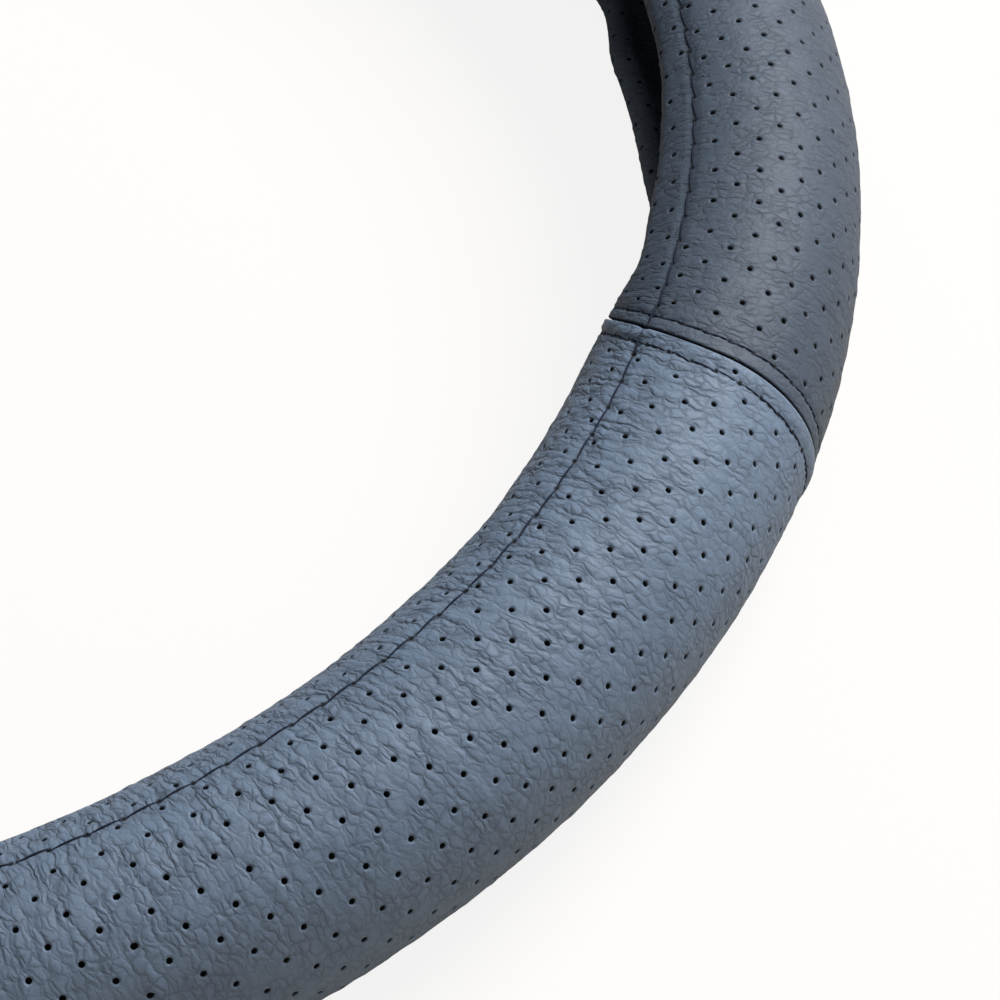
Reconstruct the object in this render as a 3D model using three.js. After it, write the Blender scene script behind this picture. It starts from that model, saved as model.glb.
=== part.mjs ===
// A slip-on steering wheel cover, off the wheel, in millimetres with +Z up.
// A rubber ring of C section, made up of four lengths, carries four panels of leather. Each panel
// wraps the ring, turns in at both lips of the slit and is hemmed by a stitch line along each lip.
// The ring's axis is Z. The cover lies on its back, and the slit sits a little toward the front, +Z.
import * as THREE from 'three';

// Ring and section
const coverDiameter = 380;
const gripWidth = 42;
const ringWall = 2.6;
const ringGap = 0.3;
const leatherThickness = 1.2;
const seatGap = 0.3;
const restWidth = 6;

// Slit and hems: the slit sits forward of the innermost line by an angle in degrees
const slitWidth = 18;
const slitForward = 5;
const hemDepth = 15;
const hemStitchInset = 11.5;

// Joins between the panels: edges are skived, folded under and topstitched on both sides
const panelCount = 4;
const joinGap = 0.3;
const joinRise = 0.3;
const joinReach = 8;
const topstitchOffset = 3.5;

// Threads
const hemThread = 0.6;
const hemGrooveDepth = 0.5;
const topThread = 0.45;
const topThreadSink = 0.05;
const closingThread = 0.4;
const threadGap = 0.1;

// Fineness of the facets
const stepsPerPanel = 10;
const arcStep = 22;
const hemSteps = 2;
const turnSteps = 4;
const threadSides = 5;

const leatherBlue = { color: 0x6c7c92, roughness: 0.55, metalness: 0 };
const rubberBlack = { color: 0x1c1d1f, roughness: 0.85, metalness: 0 };
const threadNavy = { color: 0x161c28, roughness: 0.7, metalness: 0 };

const radians = THREE.MathUtils.degToRad;
const gripRadius = gripWidth / 2;
const ringRadius = coverDiameter / 2 - gripRadius;
const lipRadius = leatherThickness + seatGap + ringWall / 2;
const lipCentreRadius = gripRadius - lipRadius;
const hemRadius = gripRadius - 2 * lipRadius;
const ringInset = leatherThickness + seatGap;

// Angles round the section are 0 at the outermost line, 90 degrees at the front and 180 innermost
const slitAngle = Math.PI - radians(slitForward);
const lipSpread = Math.asin((slitWidth / 2 + lipRadius) / lipCentreRadius);
const frontLip = slitAngle - lipSpread;
const backLip = slitAngle + lipSpread;
const hemSpan = hemDepth / hemRadius;
const stitchSpan = (hemStitchInset - lipRadius) / gripRadius;
const frontStitch = frontLip - stitchSpan;
const backStitch = backLip + stitchSpan - 2 * Math.PI;
const hemGrooveHalf = hemGrooveDepth + threadGap + hemThread / 2;
const hemGrooveSpan = hemGrooveHalf / gripRadius;
const restAngle = -Math.PI / 2;
const restSpan = Math.asin(restWidth / 2 / gripRadius);
const restHeight = gripRadius * Math.cos(restSpan);

const foldRound = leatherThickness / 2;
const topGrooveDepth = topThread + 2 * threadGap + topThreadSink;
const topGrooveHalf = topGrooveDepth + 2 * threadGap;

const panelAngle = 2 * Math.PI / panelCount;
const ringStep = panelAngle / stepsPerPanel;
const firstJoin = panelAngle / 2;

// A station is a point on the leather's outer line round the section, with its outward normal.
// rise is 1 where a join may stand proud, and sink is the depth of a stitch groove there.
function station(centre, centreAngle, radius, normalAngle, options = {}) {
  return {
    across: centre * Math.cos(centreAngle) + radius * Math.cos(normalAngle),
    up: centre * Math.sin(centreAngle) + radius * Math.sin(normalAngle),
    normal: new THREE.Vector2(Math.cos(normalAngle), Math.sin(normalAngle)),
    rise: 1,
    sink: 0,
    ...options,
  };
}

function arcStation(angle, options) {
  return station(0, 0, gripRadius, angle, options);
}

function boreStation(angle) {
  return station(0, 0, hemRadius + ringInset, angle);
}

function hemStation(angle) {
  return station(hemRadius, angle, 0, angle + Math.PI);
}

// The angles from one to another, in equal steps no longer than arcStep, without the first
function arcAngles(from, to) {
  const count = Math.ceil(Math.abs(to - from) / radians(arcStep));
  return Array.from({ length: count }, (unused, i) => from + (to - from) * (i + 1) / count);
}

function lipTurn(lipAngle, startAngle) {
  return Array.from({ length: turnSteps + 1 }, (unused, k) =>
    station(lipCentreRadius, lipAngle, lipRadius, startAngle - Math.PI * k / turnSteps));
}

function hem(from, to) {
  return Array.from({ length: hemSteps }, (unused, k) => hemStation(from + (to - from) * k / hemSteps));
}

function stitchGroove(angle) {
  return [
    arcStation(angle + hemGrooveSpan),
    arcStation(angle, { rise: 0, sink: hemGrooveDepth }),
    arcStation(angle - hemGrooveSpan),
  ];
}

// The outer line of the leather: front hem, front lip, round the outside, back lip, back hem
const frontHem = hem(frontLip - hemSpan, frontLip);
const frontTurn = lipTurn(frontLip, frontLip + Math.PI);
const frontGroove = stitchGroove(frontStitch);
const restStart = restAngle + restSpan;
const restEnd = restAngle - restSpan;
const outerArc = [
  ...arcAngles(frontStitch - hemGrooveSpan, 0).map((angle) => arcStation(angle)),
  ...arcAngles(0, restStart).slice(0, -1).map((angle) => arcStation(angle)),
  arcStation(restStart, { rise: 0 }),
  arcStation(restEnd, { rise: 0 }),
  ...arcAngles(restEnd, backStitch + hemGrooveSpan).slice(0, -1).map((angle) => arcStation(angle)),
];
const backGroove = stitchGroove(backStitch);
const backTurn = lipTurn(backLip, backLip);
const backHem = hem(backLip + hemSpan, backLip).reverse();
const leatherLine = [
  ...frontHem, ...frontTurn, ...frontGroove, ...outerArc, ...backGroove, ...backTurn, ...backHem,
];

// The section of the rubber: inset from the leather's line outside, then back round the bore
const boreArc = arcAngles(backLip + hemSpan - 2 * Math.PI, frontLip - hemSpan).slice(0, -1);
const underLeather = [...frontHem, ...frontTurn, ...outerArc, ...backTurn, ...backHem];
const rubberSection = [
  ...underLeather.map((at) => ({ at, offset: -ringInset })),
  ...boreArc.map((angle) => ({ at: boreStation(angle), offset: 0 })),
].reverse();

// The whole ring is a polygon with a corner at each step, so that every piece shares its chords
function ringPoint(radius, height, angle) {
  const steps = (angle - firstJoin) / ringStep;
  const fromMiddle = (steps - Math.floor(steps) - 0.5) * ringStep;
  const chord = radius * Math.cos(ringStep / 2) / Math.cos(fromMiddle);
  return new THREE.Vector3(chord * Math.cos(angle), chord * Math.sin(angle), height);
}

// A point at an offset from the leather's outer line, along the ring from an angle by a distance
function coverPoint(at, angle, along, offset) {
  const turned = angle + along / (ringRadius + at.across);
  const radius = ringRadius + at.across + at.normal.x * offset;
  return ringPoint(radius, restHeight + at.up + at.normal.y * offset, turned);
}

// A closed solid through a row of outlines that have the same number of points each.
// flat is the outline of either end, spread out in a plane, by which the two ends are closed.
function loft(outlines, flat) {
  const size = outlines[0].length;
  const positions = outlines.flat().flatMap((point) => point.toArray());
  const index = [];
  for (let row = 0; row + 1 < outlines.length; row += 1) {
    for (let i = 0; i < size; i += 1) {
      const a = row * size + i;
      const b = row * size + (i + 1) % size;
      index.push(a, a + size, b + size, a, b + size, b);
    }
  }
  const last = (outlines.length - 1) * size;
  for (const [a, b, c] of THREE.ShapeUtils.triangulateShape(flat, [])) {
    index.push(c, b, a, last + a, last + b, last + c);
  }
  const geometry = new THREE.BufferGeometry();
  geometry.setAttribute('position', new THREE.Float32BufferAttribute(positions, 3));
  geometry.setIndex(index);
  geometry.computeVertexNormals();
  return geometry;
}

function joinSwell(along) {
  return along < joinReach ? joinRise * (1 + Math.cos(Math.PI * along / joinReach)) / 2 : 0;
}

// One folded edge of a panel, from its underside over the fold to where the panel lies plain
function foldedEdge(at) {
  const edge = joinGap / 2;
  const surface = (along) => joinSwell(along) * at.rise - at.sink;
  const grooveFloor = joinSwell(topstitchOffset) * at.rise - Math.max(at.sink, topGrooveDepth);
  return [
    [edge + foldRound, -leatherThickness],
    [edge, -leatherThickness / 2],
    [edge + foldRound, surface(edge + foldRound)],
    [topstitchOffset - topGrooveHalf, surface(topstitchOffset - topGrooveHalf)],
    [topstitchOffset, grooveFloor],
    [topstitchOffset + topGrooveHalf, surface(topstitchOffset + topGrooveHalf)],
    [joinReach, -at.sink],
  ];
}

// The angles of the polygon's corners between two joins
function innerAngles(startAngle) {
  return Array.from({ length: stepsPerPanel - 1 }, (unused, i) => startAngle + (i + 1) * ringStep);
}

// The panel's section along the ring at one station, as (angle, distance along, offset) rows
function panelProfile(at, startAngle) {
  const edge = foldedEdge(at);
  const inner = innerAngles(startAngle);
  return [
    ...edge.map(([along, offset]) => [startAngle, along, offset]),
    ...inner.map((angle) => [angle, 0, -at.sink]),
    ...edge.map(([along, offset]) => [startAngle + panelAngle, -along, offset]).reverse(),
    ...inner.map((angle) => [angle, 0, -leatherThickness]).reverse(),
  ];
}

function leatherPanel(startAngle) {
  const outlines = leatherLine.map((at) =>
    panelProfile(at, startAngle).map((row) => coverPoint(at, ...row)));
  const flat = panelProfile(leatherLine[0], startAngle).map(([angle, along, offset]) => {
    const spread = new THREE.Vector2(ringRadius - offset, 0);
    return spread.rotateAround(new THREE.Vector2(), angle + along / ringRadius);
  });
  return loft(outlines, flat);
}

// The height of a thread's middle above the floor of the V groove that it lies in
function seatHeight(thread, grooveHalf, grooveDepth) {
  return (thread / 2 + threadGap) * Math.hypot(grooveHalf, grooveDepth) / grooveHalf;
}

// A thread that follows the leather's line at a join, at a distance along and an offset
function joinThread(stations, joinAngle, thread, along, offsetAt) {
  const round = Array.from({ length: threadSides }, (unused, i) => -2 * Math.PI * i / threadSides);
  const flat = round.map((a) => new THREE.Vector2(Math.cos(a), Math.sin(a)).multiplyScalar(thread / 2));
  const outlines = stations.map((at) =>
    flat.map((point) => coverPoint(at, joinAngle, along + point.x, offsetAt(at) + point.y)));
  return loft(outlines, flat);
}

function topstitch(joinAngle, side) {
  const stations = [frontGroove.at(-1), ...outerArc, backGroove[0]];
  const seat = seatHeight(topThread, topGrooveHalf, topGrooveDepth) - topGrooveDepth;
  const offsetAt = (at) => joinSwell(topstitchOffset) * at.rise + seat;
  return joinThread(stations, joinAngle, topThread, side * topstitchOffset, offsetAt);
}

function closingSeam(joinAngle) {
  const stations = [frontTurn.at(-1), ...frontGroove, ...outerArc, ...backGroove, backTurn[0]];
  const offset = closingThread / 2 - leatherThickness - seatGap / 2;
  return joinThread(stations, joinAngle, closingThread, 0, () => offset);
}

// Turns a closed outline of (radius, height) points into a ring about Z, with a corner at each join
function revolve(outline) {
  const closed = [...outline, outline[0]];
  const geometry = new THREE.LatheGeometry(closed, panelCount * stepsPerPanel, firstJoin + Math.PI / 2);
  return geometry.rotateX(Math.PI / 2);
}

// One length of the rubber ring, butted to the next under each join
function rubberLength(startAngle) {
  const rows = [
    [startAngle, ringGap / 2],
    ...innerAngles(startAngle).map((angle) => [angle, 0]),
    [startAngle + panelAngle, -ringGap / 2],
  ];
  const outlines = rows.map(([angle, along]) =>
    rubberSection.map(({ at, offset }) => coverPoint(at, angle, along, offset)));
  const flat = rubberSection.map(({ at, offset }) =>
    new THREE.Vector2(at.up + at.normal.y * offset, at.across + at.normal.x * offset));
  return loft(outlines, flat);
}

function hemThreadRing(angle) {
  const seat = gripRadius - hemGrooveDepth + seatHeight(hemThread, hemGrooveHalf, hemGrooveDepth);
  const outline = Array.from({ length: threadSides }, (unused, i) => {
    const round = 2 * Math.PI * i / threadSides;
    return new THREE.Vector2(ringRadius + seat * Math.cos(angle) + hemThread / 2 * Math.cos(round),
      restHeight + seat * Math.sin(angle) + hemThread / 2 * Math.sin(round));
  });
  return revolve(outline);
}

const cover = new THREE.Group();

function add(name, geometry, finish) {
  const mesh = new THREE.Mesh(geometry, new THREE.MeshStandardMaterial(finish));
  mesh.name = name;
  cover.add(mesh);
}

add('hem_thread_front', hemThreadRing(frontStitch), threadNavy);
add('hem_thread_back', hemThreadRing(backStitch), threadNavy);
for (let join = 0; join < panelCount; join += 1) {
  const angle = firstJoin + join * panelAngle;
  add(`inner_ring_${join + 1}`, rubberLength(angle), rubberBlack);
  add(`leather_panel_${join + 1}`, leatherPanel(angle), leatherBlue);
  add(`topstitch_${join + 1}_left`, topstitch(angle, 1), threadNavy);
  add(`topstitch_${join + 1}_right`, topstitch(angle, -1), threadNavy);
  add(`closing_seam_${join + 1}`, closingSeam(angle), threadNavy);
}

export default cover;
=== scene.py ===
import math

import bpy
import numpy as np
from mathutils import Matrix, Vector
from mathutils.geometry import delaunay_2d_cdt


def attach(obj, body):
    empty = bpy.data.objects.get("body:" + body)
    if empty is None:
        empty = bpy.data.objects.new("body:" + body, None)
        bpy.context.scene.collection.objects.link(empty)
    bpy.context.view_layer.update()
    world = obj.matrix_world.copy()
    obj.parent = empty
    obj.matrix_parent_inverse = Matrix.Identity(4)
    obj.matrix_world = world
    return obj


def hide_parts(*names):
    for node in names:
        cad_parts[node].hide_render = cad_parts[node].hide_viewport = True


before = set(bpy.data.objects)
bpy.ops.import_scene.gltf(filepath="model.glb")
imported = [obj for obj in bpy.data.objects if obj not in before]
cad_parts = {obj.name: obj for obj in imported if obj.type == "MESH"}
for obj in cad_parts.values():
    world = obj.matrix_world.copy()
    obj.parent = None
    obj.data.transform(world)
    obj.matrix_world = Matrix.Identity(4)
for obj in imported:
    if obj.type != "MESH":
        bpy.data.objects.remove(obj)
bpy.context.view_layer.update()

MM = 0.001

# Sizes of the cover in millimetres, the same as in the part's source
COVER_RADIUS = 190.0
GRIP_RADIUS = 21.0
RING_RADIUS = COVER_RADIUS - GRIP_RADIUS
RING_WALL = 2.6
LEATHER = 1.2
SEAT_GAP = 0.3
REST_WIDTH = 6.0
SLIT_WIDTH = 18.0
SLIT_FORWARD = 5.0
HEM_DEPTH = 15.0
HEM_STITCH_INSET = 11.5
PANELS = 4
JOIN_GAP = 0.3
TOPSTITCH_OFFSET = 3.5

LIP_RADIUS = LEATHER + SEAT_GAP + RING_WALL / 2
LIP_CENTRE = GRIP_RADIUS - LIP_RADIUS
HEM_RADIUS = GRIP_RADIUS - 2 * LIP_RADIUS
SLIT_ANGLE = math.radians(180 - SLIT_FORWARD)
LIP_SPREAD = math.asin((SLIT_WIDTH / 2 + LIP_RADIUS) / LIP_CENTRE)
FRONT_LIP = SLIT_ANGLE - LIP_SPREAD
BACK_LIP = SLIT_ANGLE + LIP_SPREAD - 2 * math.pi
REST_HEIGHT = math.sqrt(GRIP_RADIUS ** 2 - (REST_WIDTH / 2) ** 2)
PANEL_ANGLE = 2 * math.pi / PANELS
FIRST_JOIN = PANEL_ANGLE / 2

# Distances round the section, along the leather from the edge of the front hem
TURN_LENGTH = math.pi * LIP_RADIUS
FRONT_TURN_END = HEM_DEPTH + TURN_LENGTH
BACK_TURN_START = FRONT_TURN_END + GRIP_RADIUS * (FRONT_LIP - BACK_LIP)
BACK_HEM_START = BACK_TURN_START + TURN_LENGTH
WRAP_LENGTH = BACK_HEM_START + HEM_DEPTH
STITCH_FROM_TURN = HEM_STITCH_INSET - LIP_RADIUS
FRONT_STITCH = FRONT_TURN_END + STITCH_FROM_TURN
BACK_STITCH = BACK_TURN_START - STITCH_FROM_TURN

# The leather is laid out flat at this radius of the ring, where it is neither drawn nor gathered
LAY_RADIUS = 178.0
PANEL_LENGTH = LAY_RADIUS * PANEL_ANGLE

# Perforation and stitches. Each panel's holes form a square lattice: where one of them lies, in
# millimetres along the panel and round the grip from the outermost line, and its turn
HOLE_PITCH = 5.42
HOLE_RADIUS = 0.55
HOLE_SIDES = 8
PIT_DEPTH = 0.95
LATTICES = (
    (2.1, -21.0, math.radians(44)),
    (3.4, -24.0, math.radians(50)),
    (239.65, -22.4, math.radians(47.9)),
    (8.58, -22.97, math.radians(41.4)),
)
# How much of the slate colour each panel keeps, the rest going toward black: the fourth is drawn far
# darker
PANEL_TONES = (0.86, 0.93, 1.0, 0.42)
PANEL_GATHERS = (0.8, 0.9, 1.0, 0.5)
HEM_PITCH = 6.35
TOP_PITCH = 4.3
HEM_THREAD = 0.36
TOP_THREAD = 0.34

# How the soft cover lies: degrees past a join, then how far the section is rolled and how far
# the front and back lips of the slit lie from their plain places, all in degrees
LIE = (
    (0, 3, 20, 1),
    (4, 1, 7, 1),
    (8, 1, -6, 1),
    (12, 1, -5, 1),
    (17, 1, -8, 11),
    (26, 1, -12, -1),
    (35, 0, -11, 1),
    (45, -1, 3, 28),
    (55, 1, 19, 10),
    (65, 0, 18, 1),
    (70, -1, 10, 1),
    (75, -1, 7, 1),
    (82, 1, 18, 1),
    (90, 3, 20, 1),
)
LOOSEST_JOIN = math.radians(315)
LEAST_LIE = 0.6

# A join is drawn along the ring toward its next panel, more so the nearer it comes to the front
# lip: by how many millimetres, from which angle of the section, and over how many degrees of ring
DRAW = 11.0
DRAW_START = math.radians(70)
DRAW_SPAN = math.radians(75)
DRAW_LIMIT = 1.1
DRAW_BEHIND = math.radians(14)
DRAW_AHEAD = math.radians(5)


def direction(angle):
    return np.stack([np.cos(angle), np.sin(angle)], -1)


def in_space(ring_angle, across, up):
    """A place or direction in space from its ring angle, distance from the ring's axis and height."""
    return np.stack([across * np.cos(ring_angle), across * np.sin(ring_angle), up], -1)


def bell(x, width):
    return np.exp(-(x / width) ** 2)


def looseness(ring_angle):
    """How strongly the cover is drawn and rolled: fully at the loosest join, less away from it."""
    return LEAST_LIE + (1 - LEAST_LIE) * (1 + np.cos(ring_angle - LOOSEST_JOIN)) / 2


def lie(ring_angle):
    """The roll of the section and the places of both lips at a ring angle, in radians."""
    past, *offsets = np.array(LIE, float).T
    turned = np.degrees(ring_angle - FIRST_JOIN) % math.degrees(PANEL_ANGLE)
    row = np.clip(np.searchsorted(past, turned, "right") - 1, 0, len(past) - 2)
    t = (turned - past[row]) / (past[row + 1] - past[row])
    t = t * t * (3 - 2 * t)
    loose = looseness(ring_angle)
    roll, front, back = (np.radians(c[row] + (c[row + 1] - c[row]) * t) * loose for c in offsets)
    return roll, FRONT_LIP + roll + front, BACK_LIP + roll + back


def wrap(ring_angle, distance):
    """Point and outward normal in the section, as (across, up), at a distance round the leather."""
    v = np.asarray(distance, float)
    roll, front, back = lie(np.asarray(ring_angle, float) + 0 * v)
    front_fold = FRONT_TURN_END + GRIP_RADIUS * (FRONT_LIP + roll - front)
    back_fold = BACK_TURN_START + GRIP_RADIUS * (BACK_LIP + roll - back)
    front_edge, back_edge = front_fold - TURN_LENGTH, back_fold + TURN_LENGTH
    place = np.empty(v.shape + (2,))
    normal = np.empty(v.shape + (2,))

    def fill(mask, middle_radius, middle_angle, radius, normal_angle):
        normal[mask] = direction(normal_angle[mask])
        place[mask] = middle_radius * direction(middle_angle[mask]) + radius * normal[mask]

    angle = front - (front_edge - v) / HEM_RADIUS
    fill(v < front_edge, HEM_RADIUS, angle, 0.0, angle + math.pi)
    angle = front + math.pi - (v - front_edge) / LIP_RADIUS
    fill((v >= front_edge) & (v < front_fold), LIP_CENTRE, front, LIP_RADIUS, angle)
    angle = FRONT_LIP + roll - (v - FRONT_TURN_END) / GRIP_RADIUS
    fill((v >= front_fold) & (v < back_fold), 0.0, angle, GRIP_RADIUS, angle)
    angle = back - (v - back_fold) / LIP_RADIUS
    fill((v >= back_fold) & (v < back_edge), LIP_CENTRE, back, LIP_RADIUS, angle)
    angle = back + (v - back_edge) / HEM_RADIUS
    fill(v >= back_edge, HEM_RADIUS, angle, 0.0, angle + math.pi)
    return place, normal


def drawn(angle, distance):
    """The ring angle at which the leather lies that a plain cover would have at another."""
    past = (angle - FIRST_JOIN + PANEL_ANGLE / 2) % PANEL_ANGLE - PANEL_ANGLE / 2
    around = FRONT_LIP - (distance - FRONT_TURN_END) / GRIP_RADIUS
    share = np.clip((around - DRAW_START) / DRAW_SPAN, 0, DRAW_LIMIT) ** 2
    fade = np.where(past < 0, bell(past, DRAW_BEHIND), bell(past, DRAW_AHEAD))
    return angle + DRAW / LAY_RADIUS * share * fade * looseness(angle)


def on_ring(angle, distance, offset):
    """Points of the cover in metres, and their outward normals, from a ring angle, a distance round
    the section and an offset along the normal."""
    angle = drawn(angle, distance)
    place, normal = wrap(angle, distance)
    section = place + normal * np.asarray(offset, float)[..., None]
    points = in_space(angle, RING_RADIUS + section[..., 0], REST_HEIGHT + section[..., 1])
    return points * MM, in_space(angle, normal[..., 0], normal[..., 1])


# The folded edges, topstitch rows and hem rows, in millimetres as heights on the flat leather
FOLD_ROUND = 0.45
FOLD_LENGTH = FOLD_ROUND * math.pi / 2
OVER_SWELL = 0.55
UNDER_SWELL = 0.2
JOIN_REACH = 6.5
TOP_GROOVE = 0.38
TOP_GROOVE_WIDTH = 0.5
TOP_NEEDLE_WIDTH = 0.6
HEM_GROOVE = 0.36
HEM_GROOVE_WIDTH = 0.65
HEM_NEEDLE_WIDTH = 0.7
NEEDLE_DIP = 0.25


def join_swell(along, is_over):
    """How far a panel's folded edge stands proud. The end of each panel lies over the next one's."""
    swell = np.where(is_over, OVER_SWELL, UNDER_SWELL)
    return swell * (1 + np.cos(np.pi * np.clip(along / JOIN_REACH, 0, 1))) / 2


def past_needle(walk, pitch):
    """How far a place along a row of stitches is from the nearest needle hole."""
    return np.abs((walk / pitch) % 1 - 0.5) * pitch - pitch / 2


def relief(u, v):
    """Distance from the join's middle and height of the leather's skin at a place on the flat panel."""
    from_end = np.minimum(u, PANEL_LENGTH - u)
    fold = np.clip(from_end / FOLD_ROUND, 0, math.pi / 2)
    along = JOIN_GAP / 2 + FOLD_ROUND * (1 - np.cos(fold)) + np.maximum(from_end - FOLD_LENGTH, 0)
    height = join_swell(along, u > PANEL_LENGTH / 2) * np.sin(fold) - FOLD_ROUND * (1 - np.sin(fold))
    off = along - TOPSTITCH_OFFSET
    dip = bell(off, TOP_NEEDLE_WIDTH) * bell(past_needle(v, TOP_PITCH), TOP_NEEDLE_WIDTH)
    height -= TOP_GROOVE * bell(off, TOP_GROOVE_WIDTH) + NEEDLE_DIP * dip
    for row in (FRONT_STITCH, BACK_STITCH):
        dip = bell(v - row, HEM_NEEDLE_WIDTH) * bell(past_needle(u, HEM_PITCH), HEM_NEEDLE_WIDTH)
        height -= HEM_GROOVE * bell(v - row, HEM_GROOVE_WIDTH) + NEEDLE_DIP * dip
    return along, height


def laid(u, along):
    """A place on the flat panel moved to its distance from the middle of the nearer join."""
    return np.where(u < PANEL_LENGTH / 2, along, PANEL_LENGTH - along)


# Meshes

def triangle_mesh(name, points, triangles):
    mesh = bpy.data.meshes.new(name)
    triangles = np.asarray(triangles, np.int32)
    mesh.vertices.add(len(points))
    mesh.vertices.foreach_set("co", np.asarray(points, np.float32).ravel())
    mesh.loops.add(triangles.size)
    mesh.loops.foreach_set("vertex_index", triangles.ravel())
    mesh.polygons.add(len(triangles))
    mesh.polygons.foreach_set("loop_start", np.arange(0, triangles.size, 3, dtype=np.int32))
    mesh.update(calc_edges=True)
    mesh.shade_smooth()
    return mesh


def put_attribute(mesh, name, values):
    kind = "FLOAT_VECTOR" if np.ndim(values) == 2 else "FLOAT"
    attribute = mesh.attributes.new(name, kind, "POINT")
    attribute.data.foreach_set("vector" if kind == "FLOAT_VECTOR" else "value",
                               np.asarray(values, np.float32).ravel())


def put_uv(mesh, uv):
    layer = mesh.uv_layers.new(name="leather_metres")
    loops = np.empty(len(mesh.loops), np.int32)
    mesh.loops.foreach_get("vertex_index", loops)
    layer.data.foreach_set("uv", np.asarray(uv, np.float32)[loops].ravel())


def add_object(name, mesh):
    thing = bpy.data.objects.new(name, mesh)
    bpy.context.scene.collection.objects.link(thing)
    return thing


def finish_nodes(thing, material):
    """Turns the piece with its modifiers into a plain mesh with one material."""
    graph = bpy.context.evaluated_depsgraph_get()
    graph.update()
    mesh = bpy.data.meshes.new_from_object(thing.evaluated_get(graph))
    thing.modifiers.clear()
    thing.data = mesh
    mesh.materials.clear()
    mesh.materials.append(material)
    return thing


# Perforated panels of leather: a flat layout is triangulated and wrapped onto the ring. Spacings of
# its points, and their distances from a hole's middle and from the panel's ends, in millimetres

BODY_SPACING = 0.9
HEM_SPACING = 2.2
UNDER_SPACING = 6.0
COLLAR_RADIUS = 0.95
HOLE_CLEARANCE = 1.25
GRID_FROM_END = 2.4
SEAM_ROWS = (0.25, 0.55, 0.9, 1.4, 2.0)
SEAM_ROW_FIRST = 0.6
SEAM_ROW_LAST = 0.3

# Where there are no perforations, as distances of a hole's middle from the panel's ends, the rows of
# stitches and the turns
HOLE_FROM_END = 1.9
HOLE_FROM_TOPSTITCH = 1.1
HOLE_FROM_HEM_ROW = 1.3
HOLE_FROM_TURN = 1.0

# Near its end a panel is pulled, and its lattice with it: round the grip, and along the ring on
# either side of the line where the join starts to be drawn
END_SPAN = math.radians(9)
END_SHIFT_ROUND = 4.0
END_SHIFT_OUTER = -1.0
END_SHIFT_INNER = 0.6

# A pit narrows by this share to its floor, and each panel's pattern starts so many millimetres on
PIT_TAPER = 0.2
PATTERN_SHIFT = 400.0

# Millimetres over which slack comes back from an end and from a row of stitches, and the share of it
# that a row takes; the least gathering, and how far from a hem it falls to that
SLACK_FROM_END = 3.0
SLACK_FROM_ROW = 1.2
ROW_HOLD = 0.8
LEAST_GATHER = 0.22
GATHER_WIDTH = 19.0


def hex_grid(width, height, spacing, first=0.0):
    rows = []
    step = spacing * math.sqrt(3) / 2
    count = max(1, round(height / step))
    for i in range(1, count):
        shift = spacing / 2 if i % 2 else 0.0
        x = np.arange(spacing + shift, width - spacing / 2, spacing)
        rows.append(np.stack([x, np.full_like(x, first + i * height / count)], -1))
    return np.concatenate(rows)


def border(width, height, spacing):
    nx, ny = round(width / spacing), round(height / spacing)
    x = np.arange(nx) * width / nx
    y = np.arange(ny) * height / ny
    return np.concatenate([
        np.stack([x, np.zeros(nx)], -1), np.stack([np.full(ny, width), y], -1),
        np.stack([width - x, np.full(nx, height)], -1), np.stack([np.zeros(ny), height - y], -1),
    ])


def from_hem_row(v):
    return np.minimum(np.abs(v - FRONT_STITCH), np.abs(v - BACK_STITCH))


def hole_places(k):
    """Middles of the perforations on the flat panel: a square lattice turned against the strip,
    and pulled round the grip and along the ring near the panel's end."""
    first_u, first_w, turn = LATTICES[k]
    reach = int((PANEL_LENGTH + WRAP_LENGTH) * 1.5 / HOLE_PITCH)
    i, j = np.meshgrid(np.arange(-reach, reach), np.arange(-reach, reach))
    x, y = i.ravel() * HOLE_PITCH, j.ravel() * HOLE_PITCH
    u = first_u + x * math.cos(turn) - y * math.sin(turn)
    w = first_w + x * math.sin(turn) + y * math.cos(turn)
    near_end = bell((PANEL_LENGTH - u) / LAY_RADIUS, END_SPAN)
    w = w + END_SHIFT_ROUND * near_end
    u = u + near_end * np.where(w > DRAW_START * -GRIP_RADIUS, END_SHIFT_OUTER, END_SHIFT_INNER)
    roll = lie(FIRST_JOIN + (k + u / PANEL_LENGTH) * PANEL_ANGLE)[0]
    v = FRONT_TURN_END + GRIP_RADIUS * (FRONT_LIP + roll) + w
    from_end = np.minimum(u, PANEL_LENGTH - u)
    from_turn = np.minimum(v, WRAP_LENGTH - v) - HEM_DEPTH
    keep = (from_end > HOLE_FROM_END) & (from_hem_row(v) > HOLE_FROM_HEM_ROW)
    keep &= (np.abs(from_end - TOPSTITCH_OFFSET) > HOLE_FROM_TOPSTITCH) & (from_turn > HOLE_FROM_TURN)
    return np.stack([u[keep], v[keep]], -1)


def clear_of(points, holes, distance):
    """True for the points that keep a distance from each hole, found by a coarse grid of cells."""
    cell = HOLE_PITCH
    table = {}
    for k, (u, v) in enumerate(holes):
        table.setdefault((int(u // cell), int(v // cell)), []).append(k)
    keep = np.ones(len(points), bool)
    cells = np.floor(points / cell).astype(int)
    order = np.lexsort((cells[:, 1], cells[:, 0]))
    starts = np.flatnonzero(np.any(np.diff(cells[order], axis=0, prepend=-99), axis=1))
    for a, b in zip(starts, [*starts[1:], len(order)]):
        members = order[a:b]
        cu, cv = cells[members[0]]
        near = [k for du in (-1, 0, 1) for dv in (-1, 0, 1) for k in table.get((cu + du, cv + dv), ())]
        if near:
            gap = np.linalg.norm(points[members][:, None] - holes[near][None], axis=2).min(1)
            keep[members] = gap > distance
    return keep


def triangulate(points):
    result = delaunay_2d_cdt([Vector(p) for p in points], [], [], 0, 1e-7)
    return np.array(result[2], int)


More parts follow.
